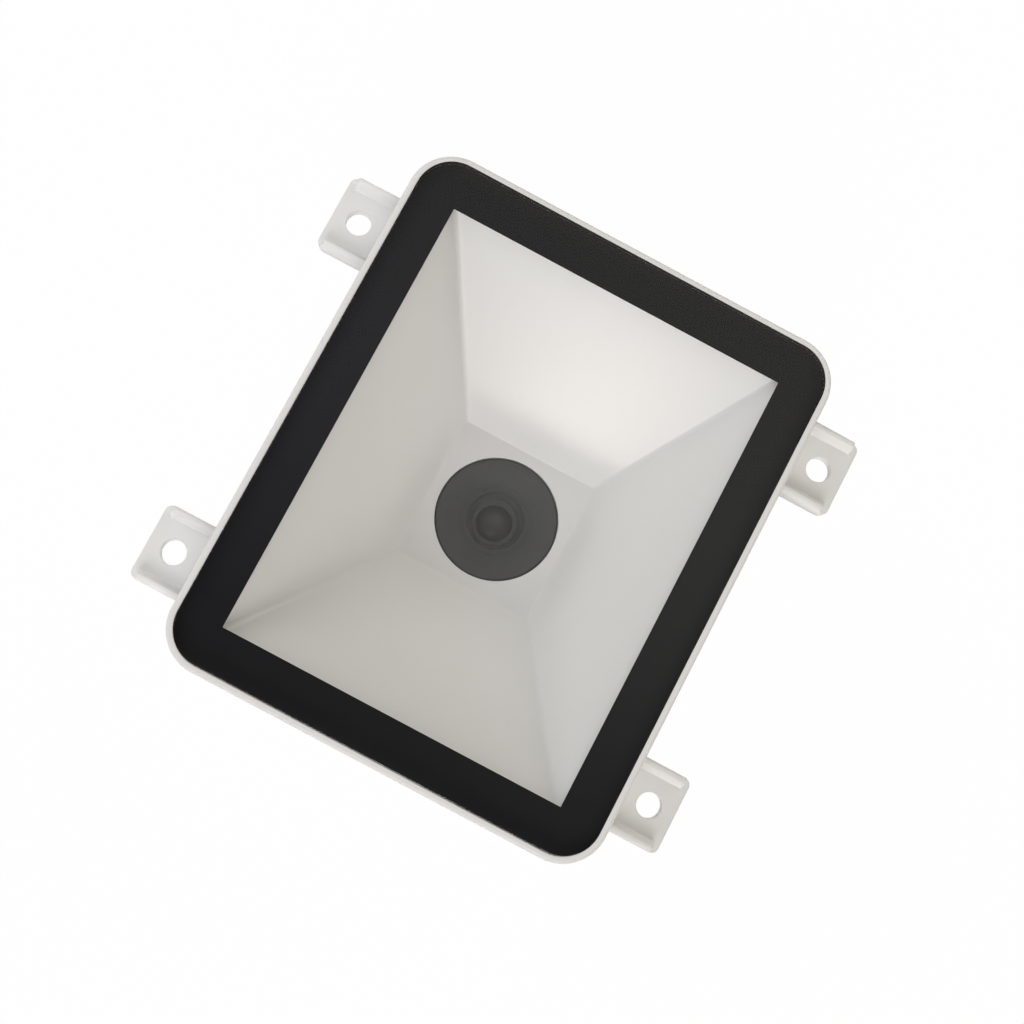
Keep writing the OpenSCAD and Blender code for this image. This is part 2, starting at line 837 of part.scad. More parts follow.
// Shrouded socket for the host cable, open to the rear through the cover
module interface_header() {
    color("ivory")
        translate([0, cable_y, 0])
            difference() {
                translate([-cable_l / 2, -cable_d / 2, cable_sink])
                    cube([cable_l, cable_d, main_rear_z - cable_sink]);
                translate([-cable_l / 2 + cable_wall, -cable_d / 2 + cable_wall, cable_sink - cut])
                    cube([
                        cable_l - 2 * cable_wall,
                        cable_d - 2 * cable_wall,
                        main_rear_z - cable_base - cable_sink + cut
                    ]);
                pin_row(cable_pins, cable_pitch)
                    pin_bar(cable_pin_t + 2 * pin_fit, cable_sink, main_rear_z + cut);
            }
}

module interface_pins() {
    color("gold")
        translate([0, cable_y, 0])
            pin_row(cable_pins, cable_pitch)
                pin_bar(cable_pin_t, main_rear_z - cable_base - cable_pin_l, main_rear_z);
}

// LEDs round the edge of the board, each a case with a clear dome
module leds() {
    module led() {
        translate([-led_w / 2, -led_d / 2, led_front_z])
            cube([led_w, led_d, led_t]);
        translate([0, 0, led_front_z])
            domed_lens(led_dome_r, led_t, led_dome_h);
    }
    color("lightyellow") {
        for (x = [-led_x, led_x], y = [-led_pitch / 2, led_pitch / 2])
            translate([x, y, 0])
                rotate(90)
                    led();
        for (y = [-led_y, led_y], x = [-led_pitch / 2, led_pitch / 2])
            translate([x, y, 0])
                led();
    }
}

// Socket strip on the main board, and the pin strip on the LED board that plugs into it
module link_socket() {
    color("#1e1e1e")
        translate([0, link_y, 0])
            difference() {
                translate([-link_l / 2, -link_d / 2, main_front_z])
                    cube([link_l, link_d, link_split_z - main_front_z]);
                pin_row(link_pins_n, link_pitch)
                    pin_bar(link_pin_t + 2 * pin_fit, main_front_z + link_pin_t, link_split_z + cut);
            }
}

module link_header() {
    color("#1e1e1e")
        translate([0, link_y, 0])
            difference() {
                translate([-link_l / 2, -link_d / 2, link_split_z])
                    cube([link_l, link_d, link_base]);
                pin_row(link_pins_n, link_pitch)
                    pin_bar(link_pin_t + 2 * pin_fit, link_split_z - cut, led_rear_z + cut);
            }
}

module link_pins() {
    color("gold")
        translate([0, link_y, 0])
            pin_row(link_pins_n, link_pitch)
                pin_bar(link_pin_t, main_front_z + 2 * link_pin_t, led_rear_z);
}

// Plain sleeves between the two boards
module board_spacers() {
    color("silver")
        four(post_x, post_y)
            translate([0, 0, main_front_z])
                difference() {
                    cylinder(h = spacer_l, r = post_r);
                    translate([0, 0, -cut])
                        cylinder(h = spacer_l + 2 * cut, r = board_hole_r);
                }
}

// Cross recess cut into a head that faces the rear
module cross_recess(z, head_r) {
    span = 2 * head_r * recess_share;
    for (turn = [0, 90])
        rotate(turn)
            translate([-span / 2, -recess_w / 2, z - cut])
                cube([span, recess_w, recess_depth + cut]);
}

// Pan-head screws through both boards and the spacers into the hood's posts
module board_screws() {
    shank_l = board_head_t + led_front_z - main_rear_z + board_screw_l;
    color("gray")
        four(post_x, post_y)
            difference() {
                union() {
                    translate([0, 0, main_rear_z - board_head_t])
                        cylinder(h = board_head_t, r = board_head_r);
                    translate([0, 0, main_rear_z - board_head_t])
                        cylinder(h = shank_l, r = board_screw_r);
                }
                cross_recess(main_rear_z - board_head_t, board_head_r);
            }
}

// Flat cover with a rounded rear edge, centring bars, sunk screw holes, a cut-out for the cable
// socket and a rose of sound holes over the beeper
module rear_cover() {
    long_bar = 2 * (boss_y - boss_r) - 2 * bar_t;
    short_bar = 2 * (boss_x - boss_r) - 2 * bar_t;
    color("whitesmoke")
        difference() {
            union() {
                slab(body_w, body_l, body_r, 0, cover_t);
                for (s = [-1, 1]) {
                    translate([s * (inner_w / 2 - bar_fit - bar_t / 2), 0, cover_t + bar_h / 2 - thin])
                        cube([bar_t, long_bar, bar_h + 2 * thin], center = true);
                    translate([0, s * (inner_l / 2 - bar_fit - bar_t / 2), cover_t + bar_h / 2 - thin])
                        cube([short_bar, bar_t, bar_h + 2 * thin], center = true);
                }
            }
            mirror([0, 0, 1])
                around(body_w, body_l, body_r)
                    edge_waste(cover_round);
            four(boss_x, boss_y) {
                translate([0, 0, -cut])
                    cylinder(h = cover_t + 2 * cut, r = cover_screw_r + 2 * screw_fit);
                cover_head(screw_fit, cover_head_sink);
            }
            translate([-cable_l / 2 - socket_fit, cable_y - cable_d / 2 - socket_fit, -cut])
                cube([cable_l + 2 * socket_fit, cable_d + 2 * socket_fit, cover_t + 2 * cut]);
            translate([beeper_at[0], beeper_at[1], -cut]) {
                cylinder(h = cover_t + 2 * cut, r = sound_hole_r);
                for (i = [0:sound_holes - 1])
                    rotate(360 * i / sound_holes)
                        translate([sound_ring_r, 0, 0])
                            cylinder(h = cover_t + 2 * cut, r = sound_hole_r);
            }
        }
}

// Countersunk head, or the seat for it when given a gap and a straight run to the rear face
module cover_head(gap, run) {
    cone_h = cover_head_r - cover_screw_r;
    translate([0, 0, cover_head_sink])
        cylinder(h = cone_h, r1 = cover_head_r + gap, r2 = cover_screw_r + gap);
    if (run > 0)
        translate([0, 0, -cut])
            cylinder(h = cut + run, r = cover_head_r + gap);
}

// Countersunk screws that hold the cover to the bosses
module cover_screws() {
    color("silver")
        four(boss_x, boss_y)
            difference() {
                union() {
                    cover_head(0, 0);
                    translate([0, 0, cover_head_sink])
                        cylinder(h = cover_t - cover_head_sink + cover_screw_l, r = cover_screw_r);
                }
                cross_recess(cover_head_sink, cover_head_r);
            }
}

front_housing();
window_glass();
window_print();
window_tape();
diffuser_hood();
lens_baffle();
lens_barrel();
front_lens();
rear_lens();
lens_holder();
ir_filter();
image_sensor();
main_board();
processor_chip();
memory_chip();
crystal();
capacitors();
beeper();
interface_header();
interface_pins();
led_board();
leds();
link_socket();
link_header();
link_pins();
board_spacers();
board_screws();
rear_cover();
cover_screws();
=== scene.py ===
"""Fixed barcode reader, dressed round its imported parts, section by section as it goes together."""

import math

import bmesh
import bpy
import numpy as np
from mathutils import Matrix, Vector


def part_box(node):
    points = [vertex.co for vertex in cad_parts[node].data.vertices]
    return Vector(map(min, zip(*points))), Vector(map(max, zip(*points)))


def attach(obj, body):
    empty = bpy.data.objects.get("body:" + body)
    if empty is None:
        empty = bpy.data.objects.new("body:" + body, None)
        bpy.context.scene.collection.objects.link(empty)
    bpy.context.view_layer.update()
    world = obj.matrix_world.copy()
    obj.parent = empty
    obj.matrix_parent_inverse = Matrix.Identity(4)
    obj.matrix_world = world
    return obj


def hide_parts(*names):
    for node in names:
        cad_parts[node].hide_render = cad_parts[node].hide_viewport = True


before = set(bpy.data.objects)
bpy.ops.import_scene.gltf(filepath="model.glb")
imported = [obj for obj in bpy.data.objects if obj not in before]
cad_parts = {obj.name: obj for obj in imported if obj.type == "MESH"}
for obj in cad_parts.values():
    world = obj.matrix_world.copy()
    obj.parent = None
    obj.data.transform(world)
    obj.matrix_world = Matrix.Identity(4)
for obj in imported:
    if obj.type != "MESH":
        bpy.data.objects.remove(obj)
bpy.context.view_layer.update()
mm = 0.001

# Front housing: the white shell with a thin lip round the glass and four ribbed mounting ears.
# It is injection moulded in ABS as one piece, with a fine satin skin, and its edges are softened
# as the mould leaves them. Everything else is fitted into it.
housing_edge = 0.22 * mm
housing_pale = (0.905, 0.905, 0.902, 1)
housing_dull = (0.885, 0.885, 0.88, 1)


def joined_copy(node, name):
    """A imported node's triangles as one closed mesh: points that coincide become one point, and
    neighbours that lie in one plane become one face."""
    same_point = 0.002 * mm
    same_plane = math.radians(0.5)
    shell = bmesh.new()
    shell.from_mesh(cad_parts[node].data)
    bmesh.ops.remove_doubles(shell, verts=shell.verts, dist=same_point)
    bmesh.ops.dissolve_limit(shell, angle_limit=same_plane, verts=shell.verts, edges=shell.edges)
    mesh = bpy.data.meshes.new(name)
    shell.to_mesh(mesh)
    shell.free()
    mesh.materials.clear()
    piece = bpy.data.objects.new(name, mesh)
    bpy.context.scene.collection.objects.link(piece)
    return piece


def soften_edges(piece, width, segments=2):
    """Rounds every edge sharper than 30 degrees, as far as the short edges beside it leave room, and
    keeps the flat faces flat to the light."""
    sharp_from = math.radians(30)
    piece.data.shade_smooth()
    round_off = piece.modifiers.new("Soft edges", "BEVEL")
    round_off.width = width
    round_off.segments = segments
    round_off.limit_method = "ANGLE"
    round_off.angle_limit = sharp_from
    flat = piece.modifiers.new("Flat faces", "WEIGHTED_NORMAL")
    flat.weight = 60
    flat.keep_sharp = True


def stand_for(piece, material, slot, *nodes):
    """The piece takes its material, rides on the reader and is shown in place of the nodes."""
    piece.data.materials.append(material)
    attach(piece, "root")
    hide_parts(*nodes)


def place(tree, kind, sockets, **settings):
    """Adds a node. Each socket, by name or number, is set to a value or linked from an output."""
    made = tree.nodes.new(kind)
    for name, value in settings.items():
        setattr(made, name, value)
    for name, value in sockets.items():
        if isinstance(value, bpy.types.NodeSocket):
            tree.links.new(value, made.inputs[name])
        else:
            made.inputs[name].default_value = value
    return made


def new_group(name, inputs, outputs):
    """An empty node group with its sockets, given as name and kind. Returns the tree, the node that
    holds its inputs and the node that takes its outputs."""
    tree = bpy.data.node_groups.new(name, "ShaderNodeTree")
    for socket, kind in inputs.items():
        tree.interface.new_socket(socket, in_out="INPUT", socket_type=f"NodeSocket{kind}")
    for socket, kind in outputs.items():
        tree.interface.new_socket(socket, in_out="OUTPUT", socket_type=f"NodeSocket{kind}")
    return tree, tree.nodes.new("NodeGroupInput"), tree.nodes.new("NodeGroupOutput")


def new_material(name):
    """A material with an empty tree, its output node and the object's own coordinates."""
    material = bpy.data.materials.new(name)
    material.use_nodes = True
    tree = material.node_tree
    tree.nodes.clear()
    output = tree.nodes.new("ShaderNodeOutputMaterial")
    place_on = tree.nodes.new("ShaderNodeTexCoord").outputs["Object"]
    return material, tree, output, place_on


# Moulded skin: cloudy changes of tone where the melt flowed, over the fine grain of the mould
skin, skin_in, skin_out = new_group(
    "Moulded skin",
    {
        "Vector": "Vector", "Pale": "Color", "Dull": "Color",
        "Flow scale": "Float", "Grain scale": "Float", "Smooth": "Float", "Rough": "Float",
    },
    {"Color": "Color", "Roughness": "Float", "Height": "Float"},
)
skin_flow = place(
    skin, "ShaderNodeTexNoise",
    {
        "Vector": skin_in.outputs["Vector"], "Scale": skin_in.outputs["Flow scale"],
        "Detail": 4, "Roughness": 0.55,
    },
)
skin_grain = place(
    skin, "ShaderNodeTexNoise",
    {
        "Vector": skin_in.outputs["Vector"], "Scale": skin_in.outputs["Grain scale"],
        "Detail": 2, "Roughness": 0.6,
    },
)
skin_tone = place(
    skin, "ShaderNodeMix",
    {0: skin_flow.outputs["Fac"], 6: skin_in.outputs["Pale"], 7: skin_in.outputs["Dull"]}, data_type="RGBA",
)
skin_rough = place(
    skin, "ShaderNodeMapRange",
    {
        "Value": skin_flow.outputs["Fac"], "From Min": 0.3, "From Max": 0.7,
        "To Min": skin_in.outputs["Smooth"], "To Max": skin_in.outputs["Rough"],
    },
)
skin.links.new(skin_tone.outputs[2], skin_out.inputs["Color"])
skin.links.new(skin_rough.outputs["Result"], skin_out.inputs["Roughness"])
skin.links.new(skin_grain.outputs["Fac"], skin_out.inputs["Height"])


def moulded(name, pale, dull, smooth, rough, flow=120, grain=5000, depth=0.004 * mm, specular=0.5, edge=0):
    """Moulded plastic: one Principled shader on the skin's colour, gloss and grain. With an edge radius
    the light also turns softly round the piece's edges."""
    material, tree, output, place_on = new_material(name)
    surface = place(
        tree, "ShaderNodeGroup",
        {
            "Vector": place_on, "Pale": pale, "Dull": dull,
            "Flow scale": flow, "Grain scale": grain, "Smooth": smooth, "Rough": rough,
        },
        node_tree=skin,
    )
    bump = place(
        tree, "ShaderNodeBump", {"Strength": 1, "Distance": depth, "Height": surface.outputs["Height"]}
    )
    if edge:
        turn_round = place(tree, "ShaderNodeBevel", {"Radius": edge}, samples=4)
        tree.links.new(turn_round.outputs["Normal"], bump.inputs["Normal"])
    shader = place(
        tree, "ShaderNodeBsdfPrincipled",
        {
            "Base Color": surface.outputs["Color"], "Roughness": surface.outputs["Roughness"],
            "Specular IOR Level": specular, "Normal": bump.outputs["Normal"],
        },
    )
    tree.links.new(shader.outputs["BSDF"], output.inputs["Surface"])
    return material


housing_white = moulded(
    "Satin white housing", housing_pale, housing_dull, smooth=0.36, rough=0.46, edge=housing_edge
)
housing = joined_copy("front_housing", "housing_shell")
soften_edges(housing, housing_edge)
stand_for(housing, housing_white, "housing_white", "front_housing")

# Ear ribs: the stiffening ribs along both sides of each ear, about 1.7 mm broad and round on top.
# They are part of the housing's white moulding, and these bars lie over its packed, thinner ribs.
# Their white is paler than the housing's: painted light on the ribs, not a different plastic.
rib_foot, rib_crest, rib_out = 3.95 * mm, 4.8 * mm, 5.66 * mm
rib_start, rib_end, rib_nose = -5.2 * mm, 2.5 * mm, 0.4 * mm
rib_high, rib_low, rib_sunk = 1.98 * mm, 1.66 * mm, 1.7 * mm
# Paler than the housing's white: painted light on the ribs
rib_lit_pale = (0.95, 0.95, 0.948, 1)
rib_lit_dull = (0.94, 0.94, 0.936, 1)
ear_at = np.array([36.75, 26.35, 35.7]) * mm


def grid_faces(rows, columns, closed, first=0):
    """Quads between neighbouring points of a grid whose columns go round. A closed grid also joins
    its last row to its first. first is the number of the grid's first point."""
    number = first + np.arange(rows * columns).reshape(rows, columns)
    near = number if closed else number[:-1]
    far = np.roll(number, -1, 0) if closed else number[1:]
    return np.stack([near, np.roll(near, -1, 1), np.roll(far, -1, 1), far], -1).reshape(-1, 4)


def capped_faces(rows, columns, first=0):
    """The quads of an open grid, with one face over its first row and one over its last."""
    start = first + np.arange(columns)
    end = start + (rows - 1) * columns
    quads = grid_faces(rows, columns, closed=False, first=first)
    return [*quads.tolist(), start[::-1].tolist(), end.tolist()]


def mesh_piece(name, points, faces):
    """An object from points and faces, with points that coincide merged and empty faces dropped."""
    merge = 0.0005 * mm
    mesh = bpy.data.meshes.new(name)
    mesh.from_pydata(points.reshape(-1, 3).tolist(), [], [list(face) for face in faces])
    shell = bmesh.new()
    shell.from_mesh(mesh)
    bmesh.ops.remove_doubles(shell, verts=shell.verts, dist=merge)
    bmesh.ops.dissolve_degenerate(shell, edges=shell.edges, dist=merge)
    shell.to_mesh(mesh)
    shell.free()
    piece = bpy.data.objects.new(name, mesh)
    bpy.context.scene.collection.objects.link(piece)
    return piece


def rib_bars():
    """Eight bars, two on each ear. A bar's section rises from the plate in half a cosine wave to the
    crest and falls in a quarter of a rounded square, the circle's formula with the power three, to an
    upright outer side. The crest falls in a straight line from the wall to the rib's end and then in a
    quarter ellipse over the nose. Every bar is the first one mirrored. Returns bars x sections x
    points x 3."""
    rise_points, shoulder_points, nose_points = 15, 11, 6
    power = 3
    nose_end = 0.3
    rise = np.linspace(0, 1, rise_points)
    arc = np.linspace(np.pi / 2, 0, shoulder_points)[1:]
    radius = rib_out - rib_crest
    nose = np.linspace(0, np.pi / 2, nose_points)
    along = np.concatenate([[rib_start], rib_end + rib_nose * np.sin(nose)])[:, None]
    crest = np.concatenate([[rib_high], rib_low * (nose_end + (1 - nose_end) * np.cos(nose))])[:, None]
    slope = crest * (1 - np.cos(np.pi * rise)) / 2
    shoulder = crest - radius * (1 - np.sin(arc) ** (2 / power))
    foot = np.full_like(crest, -rib_sunk)
    across = np.concatenate([
        [rib_foot], rib_foot + (rib_crest - rib_foot) * rise,
        rib_crest + radius * np.cos(arc) ** (2 / power), [rib_out],
    ])
    up = np.concatenate([foot, slope, shoulder, foot], 1)
    bar = np.stack(np.broadcast_arrays(along, across, up), -1)
    side_x, side_y, side = np.stack(np.meshgrid([1, -1], [1, -1], [1, -1]), -1).reshape(-1, 3).T
    upright = np.ones_like(side)
    mirrored = bar * np.stack([side_x, side, upright], -1)[:, None, None]
    bars = mirrored + (ear_at * np.stack([side_x, side_y, upright], -1))[:, None, None]
    return np.where((side_x * side < 0)[:, None, None, None], bars, bars[:, ::-1])


bars = rib_bars()
bar_sections, section_points = bars.shape[1:3]
bar_faces = []
for bar in range(len(bars)):
    bar_faces += capped_faces(bar_sections, section_points, first=bar * bar_sections * section_points)
# A lighter copy of the housing's white, painted light on the ribs
rib_lit_white = moulded("Satin white ribs painted lighter", rib_lit_pale, rib_lit_dull, smooth=0.36, rough=0.46)
ribs = mesh_piece("ear_ribs", bars, bar_faces)
ribs.data.shade_smooth()
ribs.data.materials.append(rib_lit_white)
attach(ribs, "root")

# Diffuser hood: the thin funnel behind the window that spreads the light of the LEDs.
# It is moulded in milky white plastic with a semi-gloss inside, drops in from the front until its
# flange lies on the housing's ledge, and carries four posts for the circuit boards.
hood_pale = (0.949, 0.946, 0.94, 1)
hood_dull = (0.944, 0.94, 0.933, 1)
mouth_half = np.array([25.5, 33.25]) * mm
mouth_corner = 0.9 * mm
floor_half = np.array([10.5, 10.7]) * mm
floor_corner = 0.5 * mm
floor_hole = 9.05 * mm
hood_side = 0.7 * mm
flange_thick = 1.5 * mm
flange_corner = 3.4 * mm
floor_thick = 1.5 * mm
floor_top = 24.0 * mm
hood_edge = 0.2 * mm
post_at = np.array([17.0, 21.0]) * mm
post_out = 2.4 * mm
post_bore = 0.83 * mm
hood_low, hood_high = (np.array(corner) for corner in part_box("diffuser_hood"))


def corner_rings(half_w, half_l, radius, z):
    """Rounded rectangles stacked as a grid, one row for each entry of the arrays. A point of a corner
    is the corner's centre plus the radius times the outward direction, and a point of a side lies on
    the straight line between the ends of two corners. A circle is a rectangle of no more than its
    radius. Returns rows x points x 3."""
    arc_steps = 14
    side_parts = np.array([0.03, 0.3, 0.7, 0.97])
    half_w, half_l, radius, z = np.broadcast_arrays(*np.atleast_1d(half_w, half_l, radius, z))
    turn = (np.arange(4)[:, None] + np.linspace(0, 1, arc_steps + 1)) * np.pi / 2
    outward = np.stack([np.cos(turn), np.sin(turn)], -1)
    quarter = np.array([[1, 1], [-1, 1], [-1, -1], [1, -1]])
    centre = quarter * np.stack([half_w - radius, half_l - radius], -1)[:, None, :]
    arcs = centre[:, :, None, :] + radius[:, None, None, None] * outward
    next_start = np.roll(arcs[:, :, 0], -1, 1)
    part = side_parts[:, None]
    sides = arcs[:, :, -1, None, :] * (1 - part) + next_start[:, :, None, :] * part
    flat = np.concatenate([arcs, sides], 2).reshape(len(z), -1, 2)
    height = np.broadcast_to(z[:, None, None], (*flat.shape[:2], 1))
    return np.concatenate([flat, height], 2)


def hood_shell():
    """The funnel as one closed profile of rounded rectangles: up the flange, in to the mouth, down
    the straight slope to the floor, through the round hole and back up the outer slope."""
    flange_half = hood_high[:2]
    flange_top = hood_high[2]
    flange_under = flange_top - flange_thick
    floor_under = floor_top - floor_thick
    slope = (mouth_half - floor_half) / (flange_top - floor_top)
    skirt_half = floor_half + hood_side + slope * (flange_under - floor_under)
    slope_rows = 7
    down = np.linspace(0, 1, slope_rows)[:, None]
    inner = mouth_half * (1 - down) + floor_half * down
    half = np.vstack([
        flange_half, flange_half, inner, [floor_hole] * 2, [floor_hole] * 2,
        floor_half + hood_side, skirt_half,
    ])
    inner_corner = mouth_corner * (1 - down) + floor_corner * down
    corner = np.concatenate([
        [flange_corner] * 2, inner_corner[:, 0], [floor_hole] * 2,
        [floor_corner + hood_side, mouth_corner + hood_side],
    ])
    inner_level = flange_top * (1 - down) + floor_top * down
    level = np.concatenate([
        [flange_under, flange_top], inner_level[:, 0], [floor_top, floor_under, floor_under, flange_under],
    ])
    return corner_rings(half[:, 0], half[:, 1], corner, level)


def hood_posts():
    """Four tubes as closed profiles round their axes: up the outside to the funnel's underside, which
    rises with the slope, and down the screw bore. Returns posts x rows x points x 3."""
    around = 40
    turn = np.linspace(0, 2 * np.pi, around, endpoint=False)
    ring = np.stack([np.cos(turn), np.sin(turn)], -1)
    corner = np.array([[1, 1], [-1, 1], [-1, -1], [1, -1]])[:, None, None, :]
    foot = hood_low[2]
    radius = np.array([post_bore, post_out, post_out, post_bore])[:, None, None]
    flat = corner * post_at + radius * ring
    slope = (mouth_half - floor_half) / (hood_high[2] - floor_top)
    climb = (np.abs(flat) - floor_half - hood_side) / slope
    under = floor_top - floor_thick + climb.max(-1)
    into_wall = 0.5 * mm
    level = np.broadcast_to(np.array([foot, foot, 0, 0])[:, None], under.shape).copy()
    level[:, 2:] = under[:, 2:] + into_wall
    return np.concatenate([flat, level[..., None]], -1)


hood_rings = hood_shell()
post_rings = hood_posts()
hood_points = np.concatenate([hood_rings.reshape(-1, 3), post_rings.reshape(-1, 3)])
hood_faces = [grid_faces(*hood_rings.shape[:2], closed=True)]
for post in range(len(post_rings)):
    start = hood_rings[..., 0].size + post * post_rings[0, ..., 0].size
    hood_faces.append(grid_faces(*post_rings.shape[1:3], closed=True, first=start))
hood = mesh_piece("hood_funnel", hood_points, np.concatenate(hood_faces))
soften_edges(hood, hood_edge, segments=3)
hood_white = moulded(
    "Milky white hood", hood_pale, hood_dull, smooth=0.15, rough=0.16,
    flow=40, grain=2500, depth=0.001 * mm,
)
stand_for(hood, hood_white, "hood_white", "diffuser_hood")

# Lens well: the black baffle that keeps stray light off the lens, a shallow dish with a steeper
# cone and one ledge round the opening. It is moulded in matt black plastic, and its flange is clamped
# between the hood's floor and the LED board. Its black is painted greyer in the deep pit behind the
# ledge, painted light that lifts the pit's shade, and a little paler towards the rim, painted light too.
# The pit's grey and the rim's paler black are painted light, not the plastic's own colour
pit_painted_light = (0.105, 0.105, 0.104, 1)
dish_black = (0.039, 0.039, 0.039, 1)
rim_painted_light = (0.05, 0.05, 0.049, 1)
pit_low, pit_high, rim_level = 20.8 * mm, 21.85 * mm, 23.5 * mm
well_edge = 0.2 * mm
well_mottle = 0.07
well_black = moulded(
    "Matt black well", dish_black, rim_painted_light, smooth=0.5, rough=0.62,
    flow=200, grain=7000, depth=0.002 * mm,
)
well_tree = well_black.node_tree
well_skin = next(node for node in well_tree.nodes if node.type == "GROUP")
well_place = next(node for node in well_tree.nodes if node.type == "TEX_COORD").outputs["Object"]
well_level = place(well_tree, "ShaderNodeSeparateXYZ", {"Vector": well_place})
# Painted light: the black turns paler towards the rim
rim_light_share = place(
    well_tree, "ShaderNodeMapRange",
    {
        "Value": well_level.outputs["Z"], "From Min": pit_high, "From Max": rim_level,
        "To Min": 0.0, "To Max": 1.0,
    },
)
# Painted light: greyer deep in the pit, where shade falls
pit_light_share = place(
    well_tree, "ShaderNodeMapRange",
    {
        "Value": well_level.outputs["Z"], "From Min": pit_low, "From Max": pit_high,
        "To Min": 1.0, "To Max": 0.0,
    },
    interpolation_type="SMOOTHSTEP",
)
rim_lit_tone = place(
    well_tree, "ShaderNodeMix",
    {0: rim_light_share.outputs["Result"], 6: dish_black, 7: rim_painted_light}, data_type="RGBA",
)
pit_and_rim_lit_tone = place(
    well_tree, "ShaderNodeMix",
    {0: pit_light_share.outputs["Result"], 6: rim_lit_tone.outputs[2], 7: pit_painted_light}, data_type="RGBA",
)
painted_light_dull = place(
    well_tree, "ShaderNodeMix",
    {0: well_mottle, 6: pit_and_rim_lit_tone.outputs[2], 7: (0, 0, 0, 1)}, data_type="RGBA",
)
well_tree.links.new(pit_and_rim_lit_tone.outputs[2], well_skin.inputs["Pale"])
well_tree.links.new(painted_light_dull.outputs[2], well_skin.inputs["Dull"])
well = joined_copy("lens_baffle", "lens_well")
soften_edges(well, well_edge, segments=3)
stand_for(well, well_black, "well_black", "lens_baffle")

# Lens barrel and holder: the black turned barrel that carries both lenses, screwed into a moulded
# holder that stands on the main board over the image sensor.
barrel_pale = (0.155, 0.151, 0.146, 1)
barrel_dull = (0.14, 0.136, 0.131, 1)


def dress(node, material):
    """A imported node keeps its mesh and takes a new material."""
    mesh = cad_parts[node].data
    mesh.materials.clear()
    mesh.materials.append(material)


barrel_black = moulded("Black barrel", barrel_pale, barrel_dull, smooth=0.35, rough=0.5, flow=400)
dress("lens_barrel", barrel_black)
dress("lens_holder", barrel_black)

# Lenses and filter: ground glass with a thin coating that mirrors little and throws back a brownish
# light, seated in the barrel, and a flat filter under the holder's shelf.
lens_clear = (0.155, 0.149, 0.139, 1)
lens_brown = (0.139, 0.133, 0.122, 1)
lens_glass, lens_tree, lens_output, lens_place = new_material("Coated lens")
lens_cloud = place(lens_tree, "ShaderNodeTexNoise", {"Vector": lens_place, "Scale": 900, "Detail": 3})
lens_tone = place(
    lens_tree, "ShaderNodeMix",
    {0: lens_cloud.outputs["Fac"], 6: lens_clear, 7: lens_brown}, data_type="RGBA",
)
lens_shader = place(
    lens_tree, "ShaderNodeBsdfPrincipled",
    {"Base Color": lens_tone.outputs[2], "Roughness": 0.0, "IOR": 1.35, "Transmission Weight": 0.25},
)
lens_tree.links.new(lens_shader.outputs["BSDF"], lens_output.inputs["Surface"])
for node in ("front_lens", "rear_lens", "ir_filter"):
    dress(node, lens_glass)

# Image sensor: the chip that takes the picture, in a ceramic package with a dark cover glass.
# It is soldered to the main board on the lens's axis.
sensor_pale = (0.07, 0.08, 0.09, 1)
sensor_dull = (0.05, 0.055, 0.065, 1)
sensor_dark = moulded("Sensor package", sensor_pale, sensor_dull, smooth=0.12, rough=0.2, flow=600)
dress("image_sensor", sensor_dark)

# Circuit boards: glass-fibre boards under solder resist, with the tracks showing as raised lines.
# The main board is green, and the LED board is white so that it throws light forward.
green_resist = (0.02, 0.13, 0.05, 1)
green_over_copper = (0.04, 0.22, 0.08, 1)
white_resist = (0.78, 0.78, 0.76, 1)
white_over_copper = (0.84, 0.83, 0.8, 1)
tracks, tracks_in, tracks_out = new_group(
    "Board tracks",
    {"Vector": "Vector", "Resist": "Color", "Over copper": "Color", "Pitch": "Float"},
    {"Color": "Color", "Height": "Float"},
)
track_cells = place(
    tracks, "ShaderNodeTexVoronoi",
    {"Vector": tracks_in.outputs["Vector"], "Scale": tracks_in.outputs["Pitch"]}, distance="CHEBYCHEV",
)
track_lines = place(
    tracks, "ShaderNodeTexWave",
    {"Vector": track_cells.outputs["Position"], "Scale": 900, "Distortion": 3, "Detail": 1},
    wave_profile="SIN",
)
track_mask = place(
    tracks, "ShaderNodeMapRange",
    {"Value": track_lines.outputs["Fac"], "From Min": 0.45, "From Max": 0.55},
)
track_tone = place(
    tracks, "ShaderNodeMix",
    {0: track_mask.outputs["Result"], 6: tracks_in.outputs["Resist"], 7: tracks_in.outputs["Over copper"]},
    data_type="RGBA",
)
tracks.links.new(track_tone.outputs[2], tracks_out.inputs["Color"])
tracks.links.new(track_mask.outputs["Result"], tracks_out.inputs["Height"])


def circuit_board(name, resist, over_copper):
    """Solder resist over copper: glossy, with the tracks a little paler and raised."""
    material, tree, output, place_on = new_material(name)
    layer = place(
        tree, "ShaderNodeGroup",
        {"Vector": place_on, "Resist": resist, "Over copper": over_copper, "Pitch": 700}, node_tree=tracks,
    )
    bump = place(
        tree, "ShaderNodeBump", {"Strength": 1, "Distance": 0.02 * mm, "Height": layer.outputs["Height"]}
    )
    shader = place(
        tree, "ShaderNodeBsdfPrincipled",
        {"Base Color": layer.outputs["Color"], "Roughness": 0.3, "Normal": bump.outputs["Normal"]},
    )
    tree.links.new(shader.outputs["BSDF"], output.inputs["Surface"])
    return material


dress("main_board", circuit_board("Green board", green_resist, green_over_copper))
dress("led_board", circuit_board("White board", white_resist, white_over_copper))

